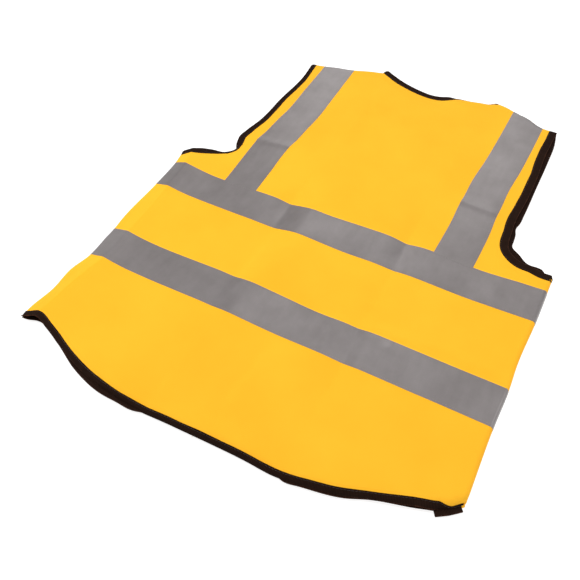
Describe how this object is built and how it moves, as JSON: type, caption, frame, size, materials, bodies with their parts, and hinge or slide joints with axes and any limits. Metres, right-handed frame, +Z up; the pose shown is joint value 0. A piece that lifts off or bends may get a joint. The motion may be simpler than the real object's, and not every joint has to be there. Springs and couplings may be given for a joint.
{
  "type": "high visibility vest",
  "caption": "Sleeveless high visibility vest with reflective bands round the body and over the shoulders and dark bound edges, lying face down; the fronts fold open.",
  "frame": {"origin": "on the floor under the middle of the vest's bounding box, as it lies face down", "axes": "+X to the wearer's right, +Y from the hem to the neck, +Z up, out of the wearer's back"},
  "size_m": [0.52, 0.69, 0.012],
  "materials": {
    "cloth": "warp-knitted fluorescent orange-yellow polyester, matt with a faint sheen",
    "tape": "grey retroreflective tape, smooth and satin",
    "binding": "black-brown folded woven binding tape",
    "thread": "polyester overlock thread",
    "hook_tape": "black nylon hook tape",
    "loop_tape": "black brushed loop tape",
    "label": "blank white satin label"
  },
  "bodies": {
    "back": {"back_panel": "cloth", "back_upper_band": "tape", "back_lower_band": "tape", "right_back_brace": "tape", "right_front_brace": "tape", "right_front_side_panel": "cloth", "right_front_upper_band_side": "tape", "right_front_lower_band_side": "tape", "right_armhole_binding": "binding", "right_side_seam": "thread", "right_shoulder_seam": "thread", "left_back_brace": "tape", "left_front_brace": "tape", "left_front_side_panel": "cloth", "left_front_upper_band_side": "tape", "left_front_lower_band_side": "tape", "left_armhole_binding": "binding", "left_side_seam": "thread", "left_shoulder_seam": "thread", "neck_binding": "binding", "hem_binding": "binding", "size_label": "label", "care_label": "label"},
    "right_front": {"right_front_flap_panel": "cloth", "right_front_upper_band_flap": "tape", "right_front_lower_band_flap": "tape", "right_front_edge_binding": "binding", "loop_patches": "loop_tape"},
    "left_front": {"left_front_flap_panel": "cloth", "left_front_upper_band_flap": "tape", "left_front_lower_band_flap": "tape", "left_front_edge_binding": "binding", "hook_patches": "hook_tape"}
  },
  "joints": [
    {"name": "right_front_opening", "type": "hinge", "parent": "back", "child": "right_front", "pos_m": [0.121, 0, -0.0003], "axis": [0.0838, -0.9965, 0], "range_deg": [0, 179.9]},
    {"name": "left_front_opening", "type": "hinge", "parent": "back", "child": "left_front", "pos_m": [-0.121, 0, -0.0003], "axis": [0.0838, 0.9965, 0], "range_deg": [0, 179.9]}
  ]
}
